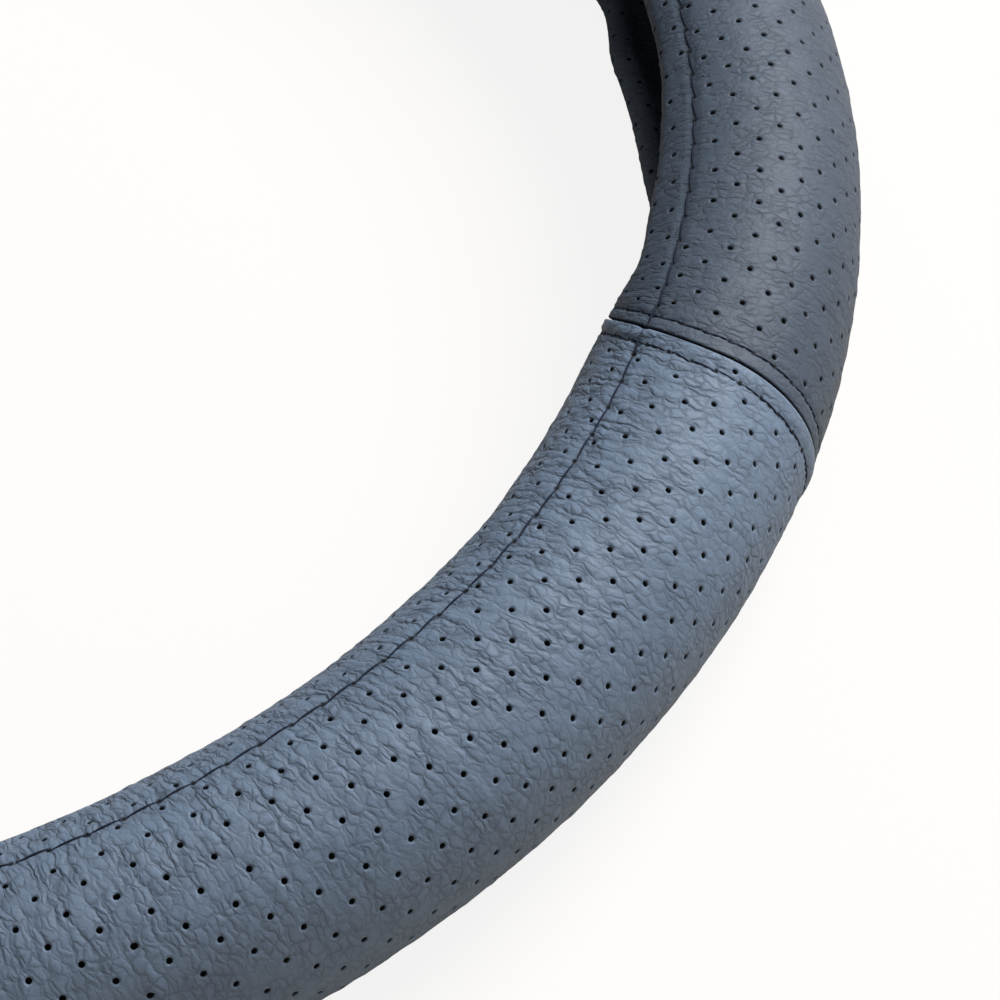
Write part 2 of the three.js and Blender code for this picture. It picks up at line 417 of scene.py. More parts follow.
def panel_layout(k):
    """The flat panel: places, triangles of the skin, and each hole's rim, as indices."""
    holes = hole_places(k)
    body = hex_grid(PANEL_LENGTH, WRAP_LENGTH - 2 * HEM_DEPTH, BODY_SPACING, HEM_DEPTH)
    hems = [hex_grid(PANEL_LENGTH, HEM_DEPTH, HEM_SPACING, first)
            for first in (0.0, WRAP_LENGTH - HEM_DEPTH)]
    v = np.arange(SEAM_ROW_FIRST, WRAP_LENGTH - SEAM_ROW_LAST, BODY_SPACING)
    seam_rows = np.concatenate([np.stack([np.full_like(v, u), v], -1) for u in SEAM_ROWS])
    seam_rows = np.concatenate([seam_rows, [PANEL_LENGTH, 0] + seam_rows * [-1, 1]])
    seam_rows = seam_rows[clear_of(seam_rows, holes, COLLAR_RADIUS)]
    body, *hems = [grid[np.minimum(grid[:, 0], PANEL_LENGTH - grid[:, 0]) > GRID_FROM_END]
                   for grid in (body, *hems)]
    body = body[clear_of(body, holes, HOLE_CLEARANCE)]
    edge = border(PANEL_LENGTH, WRAP_LENGTH, BODY_SPACING)
    angles = 2 * np.pi * np.arange(HOLE_SIDES) / HOLE_SIDES
    between = angles + np.pi / HOLE_SIDES
    rims, collars = ((holes[:, None] + radius * direction(around)[None]).reshape(-1, 2)
                     for radius, around in ((HOLE_RADIUS, angles), (COLLAR_RADIUS, between)))
    points = np.concatenate([edge, rims, collars, body, *hems, seam_rows])
    triangles = triangulate(points)
    rim = np.arange(len(edge), len(edge) + len(rims))
    is_rim = np.zeros(len(points), bool)
    is_rim[rim] = True
    inside = is_rim[triangles].all(1)
    same = (triangles - len(edge)) // HOLE_SIDES
    inside &= (same[:, 0] == same[:, 1]) & (same[:, 1] == same[:, 2])
    return {"holes": holes, "points": points, "skin": triangles[~inside], "edge": len(edge),
            "rims": rim.reshape(-1, HOLE_SIDES)}


def under_layout():
    """The flat underside, with the same border as the skin."""
    edge = border(PANEL_LENGTH, WRAP_LENGTH, BODY_SPACING)
    points = np.concatenate([edge, hex_grid(PANEL_LENGTH, WRAP_LENGTH, UNDER_SPACING)])
    return {"points": points, "triangles": triangulate(points)}


def leather_panel(name, start_angle, layout, under, material, seed):
    def lay(along, around, height):
        return on_ring(start_angle + along / LAY_RADIUS, around, height)

    flat = layout["points"]
    count = len(flat)
    along, height = relief(flat[:, 0], flat[:, 1])
    skin, outward = lay(laid(flat[:, 0], along), flat[:, 1], height)
    rims = layout["rims"]
    pit_flat = np.repeat(layout["holes"], HOLE_SIDES, 0) * PIT_TAPER
    pit_flat = pit_flat + flat[rims.ravel()] * (1 - PIT_TAPER)
    pits, pit_outward = lay(pit_flat[:, 0], pit_flat[:, 1], height[rims.ravel()] - PIT_DEPTH)
    under_flat = under["points"]
    under_along = JOIN_GAP / 2 + np.minimum(under_flat[:, 0], PANEL_LENGTH - under_flat[:, 0])
    under_skin, under_outward = lay(laid(under_flat[:, 0], under_along), under_flat[:, 1],
                                    np.full(len(under_flat), -LEATHER))

    pit_index = count + np.arange(rims.size).reshape(rims.shape)
    nxt = np.roll(np.arange(HOLE_SIDES), -1)
    walls = np.concatenate([
        np.stack([rims, rims[:, nxt], pit_index[:, nxt]], -1).reshape(-1, 3),
        np.stack([rims, pit_index[:, nxt], pit_index], -1).reshape(-1, 3)])
    floors = np.concatenate([np.stack([pit_index[:, 0], pit_index[:, i], pit_index[:, i + 1]], -1)
                             for i in range(1, HOLE_SIDES - 1)])
    base = count + rims.size
    edge = np.arange(layout["edge"])
    after = np.roll(edge, -1)
    sides = np.concatenate([np.stack([edge, base + edge, base + after], -1),
                            np.stack([edge, base + after, after], -1)])
    back = base + under["triangles"][:, ::-1]
    # Wrapped onto the ring, the flat layout is seen from its underside, so each triangle is turned over
    triangles = np.concatenate([layout["skin"], walls, floors, sides, back])[:, ::-1]

    points = np.concatenate([skin, pits, under_skin])
    mesh = triangle_mesh(name, points, triangles)
    unrolled = np.concatenate([flat, pit_flat, under_flat])
    put_uv(mesh, unrolled * MM)
    put_attribute(mesh, "outward", np.concatenate([outward, pit_outward, under_outward]))
    shifted = np.column_stack([unrolled + [seed * PATTERN_SHIFT, 0], np.zeros(len(unrolled))])
    put_attribute(mesh, "unrolled", shifted)
    pit = np.zeros(len(points))
    pit[count:base] = 1
    put_attribute(mesh, "pit", pit)
    put_attribute(mesh, "slack", slack_mask(unrolled, np.arange(len(points)) < base))
    put_attribute(mesh, "gather", gather_mask(unrolled) * PANEL_GATHERS[seed])
    put_attribute(mesh, "tone", np.full(len(points), PANEL_TONES[seed]))
    piece = add_object(name, mesh)
    piece.modifiers.new("crumple", "NODES").node_group = CRUMPLE
    return finish_nodes(piece, material)


def slack_mask(unrolled, is_skin):
    """How freely the leather may crumple: not at the stitches, nor on the underside."""
    u, v = unrolled[:, 0], unrolled[:, 1]
    slack = np.clip(np.minimum(u, PANEL_LENGTH - u) / SLACK_FROM_END, 0, 1) * is_skin
    for row in (FRONT_STITCH, BACK_STITCH):
        slack = slack * (1 - ROW_HOLD * bell(v - row, SLACK_FROM_ROW))
    return slack


def gather_mask(unrolled):
    """How much the leather is gathered: fully at the hems, less and less toward the outermost line."""
    v = unrolled[:, 1]
    on_strip = (v < FRONT_STITCH) | (v > BACK_STITCH)
    fading = LEAST_GATHER + (1 - LEAST_GATHER) * bell(from_hem_row(v), GATHER_WIDTH)
    return np.where(on_strip, 1.0, fading)


# Node trees

class Tree:
    """A geometry or shader tree that is built node by node."""

    def __init__(self, tree):
        self.tree = tree

    def socket(self, name, kind, into=True, default=None):
        way = "INPUT" if into else "OUTPUT"
        item = self.tree.interface.new_socket(name, in_out=way, socket_type=kind)
        if default is not None:
            item.default_value = default

    def node(self, kind, inputs=None, **settings):
        node = self.tree.nodes.new(kind)
        for key, value in settings.items():
            setattr(node, key, value)
        for key, value in (inputs or {}).items():
            if isinstance(value, bpy.types.NodeSocket):
                self.tree.links.new(value, node.inputs[key])
            else:
                node.inputs[key].default_value = value
        return node

    def maths(self, operation, *values):
        return self.node("ShaderNodeMath", dict(enumerate(values)), operation=operation).outputs[0]

    def vector(self, operation, a, b):
        """Vector maths on a vector and either another vector or, to scale it, a number."""
        inputs = {0: a, "Scale" if operation == "SCALE" else 1: b}
        return self.node("ShaderNodeVectorMath", inputs, operation=operation).outputs[0]


def named(tree, name, kind="FLOAT"):
    node = tree.node("GeometryNodeInputNamedAttribute", {"Name": name}, data_type=kind)
    return node.outputs["Attribute"]


def crumple_tree():
    """Pushes the leather in and out: slow waves, and creases that run across the grip. Where it would
    go through the floor, it is pressed flat."""
    group = bpy.data.node_groups.new("crumple_leather", "GeometryNodeTree")
    tree = Tree(group)
    tree.socket("Geometry", "NodeSocketGeometry")
    tree.socket("Waves mm", "NodeSocketFloat", default=0.25)
    tree.socket("Creases mm", "NodeSocketFloat", default=0.22)
    tree.socket("Crease pitch mm", "NodeSocketFloat", default=3.2)
    tree.socket("Geometry", "NodeSocketGeometry", into=False)
    start = tree.node("NodeGroupInput").outputs
    unrolled = named(tree, "unrolled", "FLOAT_VECTOR")
    slack = named(tree, "slack")
    waves = tree.node("ShaderNodeTexNoise", {"Vector": unrolled, "Scale": 0.035, "Detail": 2.0})
    wave = tree.maths("SUBTRACT", waves.outputs["Fac"], 0.5)
    wave = tree.maths("MULTIPLY", wave, start["Waves mm"])
    wave = tree.maths("MULTIPLY", wave, 2.0)
    squeezed = tree.vector("MULTIPLY", unrolled, (1.0, 0.22, 1.0))
    scale = tree.maths("DIVIDE", 1.0, start["Crease pitch mm"])
    creases = tree.node("ShaderNodeTexNoise", {
        "Vector": squeezed, "Scale": scale, "Detail": 2.5, "Distortion": 0.35})
    crease = tree.maths("SUBTRACT", creases.outputs["Fac"], 0.5)
    crease = tree.maths("ABSOLUTE", crease)
    crease = tree.maths("MULTIPLY", crease, start["Creases mm"])
    crease = tree.maths("MULTIPLY", crease, 4.0)
    total = tree.maths("ADD", wave, crease)
    total = tree.maths("MULTIPLY", total, slack)
    total = tree.maths("MULTIPLY", total, MM)
    push = tree.vector("SCALE", named(tree, "outward", "FLOAT_VECTOR"), total)
    moved = tree.node("GeometryNodeSetPosition", {"Geometry": start["Geometry"], "Offset": push})
    place = tree.node("GeometryNodeInputPosition")
    split = tree.node("ShaderNodeSeparateXYZ", {"Vector": place.outputs[0]}).outputs
    floor = tree.maths("MAXIMUM", split["Z"], 0.0)
    pressed = tree.node("ShaderNodeCombineXYZ", {"X": split["X"], "Y": split["Y"], "Z": floor})
    rested = tree.node("GeometryNodeSetPosition", {
        "Geometry": moved.outputs[0], "Position": pressed.outputs[0]})
    tree.node("NodeGroupOutput", {"Geometry": rested.outputs[0]})
    return group


def stitch_tree():
    """One row of stitches: a short thread that dips at both ends, on each point of the row."""
    group = bpy.data.node_groups.new("sew_row", "GeometryNodeTree")
    tree = Tree(group)
    tree.socket("Points", "NodeSocketGeometry")
    tree.socket("Stitch length", "NodeSocketFloat", default=0.0046)
    tree.socket("Thread", "NodeSocketFloat", default=0.0005)
    tree.socket("Dip", "NodeSocketFloat", default=0.0005)
    tree.socket("Material", "NodeSocketMaterial")
    tree.socket("Geometry", "NodeSocketGeometry", into=False)
    start = tree.node("NodeGroupInput").outputs
    half = tree.maths("MULTIPLY", start["Stitch length"], 0.5)
    minus_half = tree.maths("MULTIPLY", half, -1.0)
    handle = tree.maths("MULTIPLY", half, 0.78)
    minus_handle = tree.maths("MULTIPLY", handle, -1.0)
    down = tree.maths("MULTIPLY", start["Dip"], -1.0)
    up = tree.maths("MULTIPLY", start["Thread"], 0.9)
    corners = [tree.node("ShaderNodeCombineXYZ", {"X": x, "Y": 0.0, "Z": z}).outputs[0]
               for x, z in ((minus_half, down), (minus_handle, up), (handle, up), (half, down))]
    path = tree.node("GeometryNodeCurvePrimitiveBezierSegment", {
        "Resolution": 10, "Start": corners[0], "Start Handle": corners[1],
        "End Handle": corners[2], "End": corners[3]}, mode="POSITION")
    radius = tree.maths("MULTIPLY", start["Thread"], 0.5)
    ring = tree.node("GeometryNodeCurvePrimitiveCircle", {"Resolution": 7, "Radius": radius})
    tube = tree.node("GeometryNodeCurveToMesh", {
        "Curve": path.outputs[0], "Profile Curve": ring.outputs[0], "Fill Caps": True})
    outward, along = (named(tree, name, "FLOAT_VECTOR") for name in ("outward", "along"))
    stand = tree.node("FunctionNodeAlignRotationToVector", {"Vector": outward}, axis="Z")
    face = tree.node("FunctionNodeAlignRotationToVector", {
        "Rotation": stand.outputs[0], "Vector": along}, axis="X", pivot_axis="Z")
    sewn = tree.node("GeometryNodeInstanceOnPoints", {
        "Points": start["Points"], "Instance": tube.outputs[0], "Rotation": face.outputs[0]})
    real = tree.node("GeometryNodeRealizeInstances", {"Geometry": sewn.outputs[0]})
    smooth = tree.node("GeometryNodeSetShadeSmooth", {"Geometry": real.outputs[0]})
    done = tree.node("GeometryNodeSetMaterial", {
        "Geometry": smooth.outputs[0], "Material": start["Material"]})
    tree.node("NodeGroupOutput", {"Geometry": done.outputs[0]})
    return group


def set_input(modifier, name, value):
    for item in modifier.node_group.interface.items_tree:
        if item.item_type == "SOCKET" and item.in_out == "INPUT" and item.name == name:
            modifier[item.identifier] = value


# Stitches: how they stray from their slant, in degrees, and, as shares of the thread's thickness, how
# high above the floor their middles stay and how deep their ends dip
SLANT_STRAY = 2.5
FLOOR_CLEARANCE = 1.3
STITCH_DIP = 1.1

# How high a thread's middle is above its groove, or above the underside at a closing seam, in
# millimetres, the length of a stitch as a share of its pitch, and its slant in degrees
HEM_LIFT, HEM_SHARE, HEM_SLANT = 0.1, 0.99, 5
TOP_LIFT, TOP_SHARE, TOP_SLANT = 0.08, 0.97, 6
SEAM_LIFT, SEAM_SHARE, SEAM_SLANT = 0.15, 0.97, 0
SEAM_PITCH = 3.0
SEAM_THREAD = 0.35

# In millimetres: how far the topstitches reach in under the grip, how far they keep from the edge of
# the back hem, how much deeper they lie on the turns, and the step that gives a stitch its heading
TOP_ROW_REACH = 4.0
TOP_ROW_MARGIN = 2.0
TURN_SINK = 0.5
HEADING_STEP = 0.2


def sew(name, places, along, outward, length, thread, slant, seed):
    """A row of stitches on given places; slant turns each a little off the row."""
    rng = np.random.default_rng(seed)
    side = np.cross(outward, along)
    lean = np.radians(slant + rng.normal(0, SLANT_STRAY, len(places)))[:, None]
    heading = along * np.cos(lean) + side * np.sin(lean)
    places[:, 2] = np.maximum(places[:, 2], FLOOR_CLEARANCE * thread * MM)
    mesh = bpy.data.meshes.new(name)
    mesh.from_pydata(places.tolist(), [], [])
    put_attribute(mesh, "along", heading)
    put_attribute(mesh, "outward", outward)
    piece = add_object(name, mesh)
    modifier = piece.modifiers.new("sew", "NODES")
    modifier.node_group = SEW
    for key, value in (("Stitch length", length * MM), ("Thread", thread * MM),
                       ("Dip", thread * MM * STITCH_DIP), ("Material", THREAD)):
        set_input(modifier, key, value)
    return finish_nodes(piece, THREAD)


def hem_row(name, row, seed):
    count = round(2 * math.pi * LAY_RADIUS / HEM_PITCH / PANELS) * PANELS
    angle = FIRST_JOIN + 2 * math.pi * (np.arange(count) + 0.5) / count
    u = (angle - FIRST_JOIN) % PANEL_ANGLE * LAY_RADIUS
    swell = join_swell(np.minimum(u, PANEL_LENGTH - u), u > PANEL_LENGTH / 2)
    places, outward = on_ring(angle, np.full(count, row), swell - HEM_GROOVE + HEM_LIFT)
    along = np.stack([-np.sin(angle), np.cos(angle), np.zeros(count)], -1)
    scale = (RING_RADIUS + wrap(0.0, np.array([row]))[0][0, 0]) / LAY_RADIUS
    return sew(name, places, along, outward, HEM_PITCH * scale * HEM_SHARE, HEM_THREAD, HEM_SLANT, seed)


def across_ring(ring_angle, rows, lift):
    """Places, headings and outward normals of a row of stitches that runs round the section."""
    angle = np.full(len(rows), ring_angle)
    places, outward = on_ring(angle, rows, lift)
    along = on_ring(angle, rows + HEADING_STEP, lift)[0] - places
    return places, along / np.linalg.norm(along, axis=1, keepdims=True), outward


def top_row(name, join_angle, side, seed):
    first, last = HEM_DEPTH - TOP_ROW_REACH, WRAP_LENGTH - HEM_DEPTH + TOP_ROW_REACH
    index = np.arange(math.ceil(first / TOP_PITCH), math.floor(last / TOP_PITCH))
    rows = (index + 0.5) * TOP_PITCH
    rows = rows[rows < WRAP_LENGTH - TOP_ROW_MARGIN]
    from_turn = np.minimum(np.abs(rows - FRONT_TURN_END + TURN_LENGTH / 2),
                           np.abs(rows - BACK_TURN_START - TURN_LENGTH / 2))
    lift = join_swell(TOPSTITCH_OFFSET, side < 0) - TOP_GROOVE + TOP_LIFT
    lift = lift - TURN_SINK * bell(from_turn, TURN_LENGTH / 2)
    row = across_ring(join_angle + side * TOPSTITCH_OFFSET / LAY_RADIUS, rows, lift)
    return sew(name, *row, TOP_PITCH * TOP_SHARE, TOP_THREAD, TOP_SLANT * side, seed)


def seam_row(name, join_angle, seed):
    rows = np.arange(SEAM_PITCH, WRAP_LENGTH - SEAM_PITCH, SEAM_PITCH)
    row = across_ring(join_angle, rows, np.full(len(rows), SEAM_LIFT - LEATHER))
    return sew(name, *row, SEAM_PITCH * SEAM_SHARE, SEAM_THREAD, SEAM_SLANT, seed)


# The rubber ring: four lengths of a C section that follows the leather, ribbed where it grips the rim.
# The section is finer at the lips, from this many millimetres past their turns

RING_STEPS = 90
RING_GAP = 0.3
PAST_TURN = 8.0
LIP_STEPS = 26
GRIP_STEPS = 48
RIB_COUNT = 17
RIB_STEPS = 4
RIB_HEIGHT = 0.3
RIB_FULLNESS = 1.6


def rubber_section(ring_angle):
    """The C section at a ring angle, counterclockwise, as (across, up)."""
    first, last = FRONT_TURN_END + PAST_TURN, BACK_TURN_START - PAST_TURN
    v = np.concatenate([
        np.linspace(0, first, LIP_STEPS, endpoint=False),
        np.linspace(first, last, GRIP_STEPS, endpoint=False),
        np.linspace(last, WRAP_LENGTH, LIP_STEPS)])
    place, normal = wrap(ring_angle, v)
    inset = LEATHER + SEAT_GAP
    outside = place - normal * inset
    end, start = (math.atan2(up, across) for across, up in (outside[0], outside[-1]))
    t = np.linspace(0, 1, RIB_COUNT * RIB_STEPS + 1)[1:-1]
    angle = start + (end - start) * t
    ribs = RIB_HEIGHT * np.clip(np.sin(t * RIB_COUNT * 2 * np.pi) * RIB_FULLNESS, 0, 1)
    inside = (HEM_RADIUS + inset - ribs)[:, None] * direction(angle)
    return np.concatenate([outside, inside])[::-1]


def rubber_length(name, start_angle, material):
    edge = RING_GAP / 2 / RING_RADIUS
    angle = np.linspace(start_angle + edge, start_angle + PANEL_ANGLE - edge, RING_STEPS + 1)
    sections = np.array([rubber_section(a) for a in angle])
    n = sections.shape[1]
    height = np.maximum(REST_HEIGHT + sections[..., 1], 0)
    points = in_space(angle[:, None], RING_RADIUS + sections[..., 0], height).reshape(-1, 3) * MM
    i, j = np.meshgrid(np.arange(RING_STEPS), np.arange(n), indexing="ij")
    a, b = i * n + j, (i + 1) * n + j
    c, d = (i + 1) * n + (j + 1) % n, i * n + (j + 1) % n
    sides = np.concatenate([np.stack(corners, -1).reshape(-1, 3) for corners in ((a, b, c), (a, c, d))])
    caps = []
    for row, first, flip in ((0, 0, 1), (RING_STEPS, RING_STEPS * n, -1)):
        flat = [Vector(p) for p in sections[row]]
        ring = [(k, (k + 1) % n) for k in range(n)]
        inner = np.array(delaunay_2d_cdt(flat, ring, [], 1, 1e-9)[2], int)
        caps.append(first + inner[:, ::flip])
    mesh = triangle_mesh(name, points, np.concatenate([sides, *caps]))
    mesh.materials.append(material)
    return add_object(name, mesh)


# Materials

def new_material(name):
    material = bpy.data.materials.new(name)
    material.use_nodes = True
    material.node_tree.nodes.clear()
    return material, Tree(material.node_tree)


def close_material(tree, shader):
    tree.node("ShaderNodeOutputMaterial", {"Surface": shader.outputs[0]})


def mix_colour(tree, factor, a, b):
    return tree.node("ShaderNodeMix", {"Factor": factor, 6: a, 7: b}, data_type="RGBA").outputs[2]


def ramp(tree, value, low, high, ends=(0.0, 1.0)):
    node = tree.node("ShaderNodeMapRange", {
        "Value": value, "From Min": low, "From Max": high, "To Min": ends[0], "To Max": ends[1]})
    return node.outputs["Result"]


def falling(tree, value, near, far):
    """1 up to the near value and 0 from the far one on."""
    return ramp(tree, value, near, far, (1.0, 0.0))


def crease_group():
    """Pillows of leather between creases: 1 in the floor of a crease, falling to 0 beside it."""
    group = bpy.data.node_groups.new("leather_creases", "ShaderNodeTree")
    tree = Tree(group)
    tree.socket("Place", "NodeSocketVector")
    tree.socket("Pitch", "NodeSocketFloat", default=0.002)
    tree.socket("Stretch", "NodeSocketFloat", default=0.5)
    tree.socket("Valley", "NodeSocketFloat", default=0.3)
    tree.socket("Crease", "NodeSocketFloat", into=False)
    start = tree.node("NodeGroupInput").outputs
    shape = tree.node("ShaderNodeCombineXYZ", {"X": 1.0, "Y": start["Stretch"], "Z": 1.0})
    place = tree.vector("MULTIPLY", start["Place"], shape.outputs[0])
    scale = tree.maths("DIVIDE", 1.0, start["Pitch"])
    cells = tree.node("ShaderNodeTexVoronoi", {"Vector": place, "Scale": scale},
                      voronoi_dimensions="2D", feature="DISTANCE_TO_EDGE")
    line = falling(tree, cells.outputs["Distance"], 0.0, start["Valley"])
    tree.node("NodeGroupOutput", {"Crease": tree.maths("MULTIPLY", line, line)})
    return group


# Creases from coarse to fine: pitch in millimetres, stretch across the grip, width of the valley as
# a share of the pitch, depth in millimetres, and how much of it comes with gathering
CREASES = (
    (2.5, 0.20, 0.42, 0.28, 0.95),
    (1.4, 0.58, 0.42, 0.12, 0.45),
)

# The creases' slant, how many patches, swirls and pores go to a metre, how much of a crease stays
# between patches, how many millimetres a swirl bends it, and the pores' depth in millimetres
GRAIN_SLANT = math.radians(10)
PATCHES = 190.0
SWIRLS = 360.0
PORES = 1900.0
PATCH_LEAST = 0.4
SWIRL_BEND = 1.8
PORE_DEPTH = 0.055


def grain_group():
    """Leather grain from a place in metres and from how much the leather is gathered: its height
    in millimetres, and a mask of its creases."""
    group = bpy.data.node_groups.new("leather_grain", "ShaderNodeTree")
    tree = Tree(group)
    tree.socket("Place", "NodeSocketVector")
    tree.socket("Gather", "NodeSocketFloat", default=1.0)
    tree.socket("Height", "NodeSocketFloat", into=False)
    tree.socket("Creases", "NodeSocketFloat", into=False)
    start = tree.node("NodeGroupInput").outputs
    slant = tree.node("ShaderNodeVectorRotate", {"Vector": start["Place"], "Angle": GRAIN_SLANT},
                      rotation_type="Z_AXIS")
    place = slant.outputs[0]
    patches = flat_noise(tree, place, PATCHES, 1.0)
    patch = ramp(tree, patches.outputs["Fac"], 0.34, 0.6)
    swirl = flat_noise(tree, place, SWIRLS, 2.0)
    centred = tree.vector("SUBTRACT", swirl.outputs["Color"], (0.5, 0.5, 0.5))
    bent = tree.vector("ADD", place, tree.vector("SCALE", centred, SWIRL_BEND * MM))
    total, mask = 0.0, 0.0
    for pitch, stretch, valley, depth, share in CREASES:
        crease = tree.node("ShaderNodeGroup", node_tree=CREASE_LINES)
        tree.tree.links.new(bent, crease.inputs["Place"])
        for name, value in (("Pitch", pitch * MM), ("Stretch", stretch), ("Valley", valley)):
            crease.inputs[name].default_value = value
        gathered = tree.maths("MULTIPLY_ADD", start["Gather"], share, 1 - share)
        faded = tree.maths("MULTIPLY", crease.outputs[0], gathered)
        patched = tree.maths("MULTIPLY_ADD", patch, 1 - PATCH_LEAST, PATCH_LEAST)
        faded = tree.maths("MULTIPLY", faded, patched)
        total = tree.maths("MULTIPLY_ADD", faded, -depth, total)
        mask = tree.maths("MAXIMUM", faded, mask)
    pores = flat_noise(tree, place, PORES, 3.0)
    total = tree.maths("MULTIPLY_ADD", pores.outputs["Fac"], PORE_DEPTH, total)
    tree.node("NodeGroupOutput", {"Height": total, "Creases": mask})
    return group


def flat_noise(tree, place, scale, detail):
    return tree.node("ShaderNodeTexNoise", {"Vector": place, "Scale": scale, "Detail": detail},
                     noise_dimensions="2D")


# Painted shade, in millimetres: from where to where the painted shade in a join's fold fades, how much
# wider it is on the panel that lies under the other, from where to where it fades beside a thread, and
# how wide it is at a needle hole. Then how dark it is beside a thread, and a needle hole's core as a
# share
FOLD_SHADE = (0.15, 0.45)
UNDER_SHADE = 0.2
GROOVE_SHADE = (0.08, 0.28)
HEM_NEEDLE = 0.75
TOP_NEEDLE = 0.6
THREAD_SHADE = 0.6
NEEDLE_CORE = 0.45


def painted_shade_places(tree, uv):
    """Painted shade as a mask: needle holes, the grooves of the stitch rows and the joins' folds."""
    split = tree.node("ShaderNodeSeparateXYZ", {"Vector": uv})
    u, v = split.outputs["X"], split.outputs["Y"]
    from_end = tree.maths("MINIMUM", u, tree.maths("SUBTRACT", PANEL_LENGTH * MM, u))
    top = TOPSTITCH_OFFSET - JOIN_GAP / 2 - FOLD_ROUND + FOLD_LENGTH
    under = tree.maths("LESS_THAN", u, PANEL_LENGTH / 2 * MM)
    fold = tree.maths("MULTIPLY_ADD", under, -UNDER_SHADE * MM, from_end)
    mask = falling(tree, fold, *(edge * MM for edge in FOLD_SHADE))
    rows = ((u, HEM_PITCH, v, FRONT_STITCH, HEM_NEEDLE),
            (u, HEM_PITCH, v, BACK_STITCH, HEM_NEEDLE),
            (v, TOP_PITCH, from_end, top, TOP_NEEDLE))
    for walk, pitch, cross, row, size in rows:
        beside = tree.maths("PINGPONG", walk, pitch / 2 * MM)
        off = tree.maths("ABSOLUTE", tree.maths("SUBTRACT", cross, row * MM))
        away = tree.maths("SQRT", tree.maths("ADD", tree.maths("MULTIPLY", beside, beside),
                                             tree.maths("MULTIPLY", off, off)))
        hole = falling(tree, away, size * NEEDLE_CORE * MM, size * MM)
        groove = falling(tree, off, *(edge * MM for edge in GROOVE_SHADE))
        mask = tree.maths("MAXIMUM", hole, mask)
        mask = tree.maths("MAXIMUM", tree.maths("MULTIPLY", groove, THREAD_SHADE), mask)
    return mask


def attribute(tree, name):
    return tree.node("ShaderNodeAttribute", attribute_name=name).outputs["Fac"]


# Colours: a pair is the darkest and the lightest of a blotchy surface
SLATE = ((0.112, 0.157, 0.224, 1), (0.144, 0.198, 0.280, 1))
# Painted shade in the floors of the leather's creases
CREASE_SHADE_COLOUR = (0.026, 0.030, 0.038, 1)
# Near black: the black rubber seen in the pits, and painted shade in needle holes, stitch grooves and
# folds
HOLE_AND_SHADE_COLOUR = (0.003, 0.004, 0.006, 1)
NAVY = ((0.006, 0.008, 0.016, 1), (0.020, 0.028, 0.050, 1))
BLACK_RUBBER = ((0.010, 0.010, 0.011, 1), (0.022, 0.022, 0.023, 1))
BLACK = (0.0, 0.0, 0.0, 1)
WHITE = (1.0, 1.0, 1.0, 1)
FLOOR_COLOUR = (0.56, 0.50, 0.43, 1)


def leather_material():
    material, tree = new_material("slate_leather")
    uv = tree.node("ShaderNodeUVMap", uv_map="leather_metres").outputs[0]
    grain = tree.node("ShaderNodeGroup", node_tree=GRAIN)
    tree.tree.links.new(uv, grain.inputs["Place"])
    tree.tree.links.new(attribute(tree, "gather"), grain.inputs["Gather"])
    blotches = flat_noise(tree, uv, 60.0, 4.0)
    base = mix_colour(tree, blotches.outputs["Fac"], *SLATE)
    base = mix_colour(tree, attribute(tree, "tone"), BLACK, base)
    creases = grain.outputs["Creases"]
    # Painted shade in the creases: the colour goes halfway toward a dark one where the creases are
    base = mix_colour(tree, tree.maths("MULTIPLY", creases, 0.5), base, CREASE_SHADE_COLOUR)
    # The pits are drawn near black: black rubber lies under the perforations, and their walls get
    # painted shade
    pit = ramp(tree, attribute(tree, "pit"), 0.0, 0.35)
    # Painted shade in the needle holes, the stitch rows' grooves and the joins' folds, joined to the
    # pits
    dark = tree.maths("MAXIMUM", pit, painted_shade_places(tree, uv))
    base = mix_colour(tree, dark, base, HOLE_AND_SHADE_COLOUR)
    rough = tree.maths("MULTIPLY_ADD", creases, 0.2, 0.54)
    rough = tree.maths("MULTIPLY_ADD", dark, 0.3, rough)
    normal = bumped(tree, grain.outputs["Height"], 1.0, MM)
    shader = tree.node("ShaderNodeBsdfPrincipled", {
        "Base Color": base, "Roughness": rough, "Normal": normal, "Specular IOR Level": 0.26})
    close_material(tree, shader)
    return material


def solid_noise(tree, scale, detail):
    """Noise through the whole of a piece, as a factor."""
    place = tree.node("ShaderNodeTexCoord").outputs["Object"]
    node = tree.node("ShaderNodeTexNoise", {"Vector": place, "Scale": scale, "Detail": detail})
    return node.outputs["Fac"]


def bumped(tree, height, strength, distance):
    inputs = {"Height": height, "Strength": strength, "Distance": distance}
    return tree.node("ShaderNodeBump", inputs).outputs[0]


def thread_material():
    material, tree = new_material("sewing_thread")
    fuzz = solid_noise(tree, 6000.0, 2.0)
    base = mix_colour(tree, fuzz, *NAVY)
    normal = bumped(tree, fuzz, 0.5, 0.08 * MM)
    shader = tree.node("ShaderNodeBsdfPrincipled", {
        "Base Color": base, "Roughness": 0.75, "Normal": normal, "Specular IOR Level": 0.12})
    close_material(tree, shader)
    return material


def rubber_material():
    material, tree = new_material("moulded_rubber")
    bloom = solid_noise(tree, 90.0, 5.0)
    base = mix_colour(tree, bloom, *BLACK_RUBBER)
    rough = tree.maths("MULTIPLY_ADD", bloom, 0.2, 0.65)
    normal = bumped(tree, solid_noise(tree, 2500.0, 2.0), 0.3, 0.1 * MM)
    shader = tree.node("ShaderNodeBsdfPrincipled", {
        "Base Color": base, "Roughness": rough, "Normal": normal})
    close_material(tree, shader)
    return material


CRUMPLE = crumple_tree()
SEW = stitch_tree()
CREASE_LINES = crease_group()
GRAIN = grain_group()
LEATHER_SKIN = leather_material()
THREAD = thread_material()
RUBBER = rubber_material()


# The cover

def dress(piece, node):
    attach(piece, "root")
    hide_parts(node)


